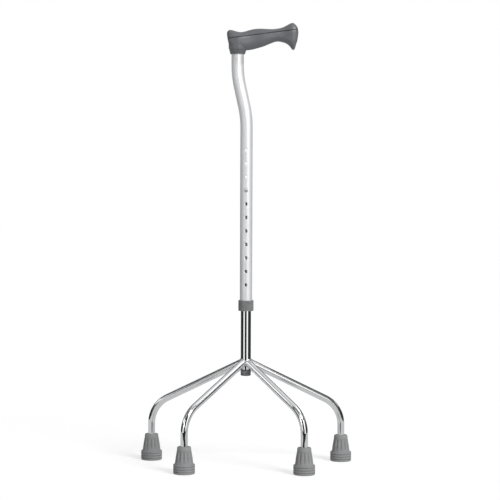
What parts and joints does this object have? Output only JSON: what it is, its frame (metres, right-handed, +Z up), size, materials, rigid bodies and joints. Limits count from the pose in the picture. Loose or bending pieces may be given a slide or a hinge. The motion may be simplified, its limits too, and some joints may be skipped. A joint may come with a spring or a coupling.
{
  "type": "quad cane",
  "caption": "Walking cane with an offset moulded grip, a swan-neck tube of adjustable height, a screwed locking collar and a wide base of bent legs on rubber ferrules.",
  "frame": {"origin": "on the floor under the middle of the base's footprint", "axes": "+Z up along the stem, +X the way the grip points, -Y towards the shorter legs, where the button stands"},
  "size_m": [0.4038, 0.1984, 0.8321],
  "materials": {
    "handle_grey": "fine moulded texture",
    "tube_aluminium": "satin, anodised",
    "stem_chrome": "bright plating",
    "collar_grey": "ribbed moulding",
    "ferrule_rubber": "matt, fluted",
    "plug_black": "matt moulding",
    "nylon_white": "natural nylon",
    "zinc_steel": "zinc plated",
    "spring_steel": "tempered strip",
    "label_film": "blank film"
  },
  "bodies": {
    "base": {"stem_tube": "stem_chrome", "stem_end_plug": "plug_black", "snap_spring": "spring_steel", "leg_inner_front": "stem_chrome", "leg_inner_rear": "stem_chrome", "leg_outer_front": "stem_chrome", "leg_outer_rear": "stem_chrome", "ferrule_inner_front": "ferrule_rubber", "ferrule_inner_rear": "ferrule_rubber", "ferrule_outer_front": "ferrule_rubber", "ferrule_outer_rear": "ferrule_rubber", "ferrule_washer_inner_front": "zinc_steel", "ferrule_washer_inner_rear": "zinc_steel", "ferrule_washer_outer_front": "zinc_steel", "ferrule_washer_outer_rear": "zinc_steel"},
    "button": {"snap_button": "zinc_steel"},
    "clamp": {"clamp_ring": "nylon_white"},
    "upper": {"outer_tube": "tube_aluminium", "threaded_sleeve": "collar_grey", "tube_label": "label_film", "tube_plug": "nylon_white", "handle_body": "handle_grey", "handle_cap": "handle_grey", "handle_screw": "zinc_steel", "handle_washer": "zinc_steel"},
    "slip": {"slip_washer": "zinc_steel"},
    "collar": {"locking_collar": "collar_grey"}
  },
  "joints": [
    {"name": "button_press", "type": "slide", "parent": "base", "child": "button", "axis": [0, 1, 0], "range_m": [0, 0.004], "stiffness_N_per_m": 1000, "deforming": ["snap_spring"]},
    {"name": "height_adjust", "type": "slide", "parent": "base", "child": "clamp", "axis": [0, 0, 1], "range_m": [-0.0762, 0.1778], "deforming": ["snap_button"]},
    {"name": "hand_swivel", "type": "hinge", "parent": "clamp", "child": "upper", "pos_m": [0, 0.02865, 0.2979], "axis": [0, 0, 1], "range_deg": [0, 180], "deforming": ["snap_button"]},
    {"name": "collar_advance", "type": "slide", "parent": "upper", "child": "slip", "axis": [0, 0, -1], "range_m": [0, 0.0015]},
    {"name": "collar_turn", "type": "hinge", "parent": "slip", "child": "collar", "pos_m": [0, 0.02865, 0.3017], "axis": [0, 0, -1], "range_deg": [0, 271]}
  ],
  "couplings": [
    {"joint": "collar_turn", "follows": "collar_advance", "rad_per_m": 3141.6}
  ]
}
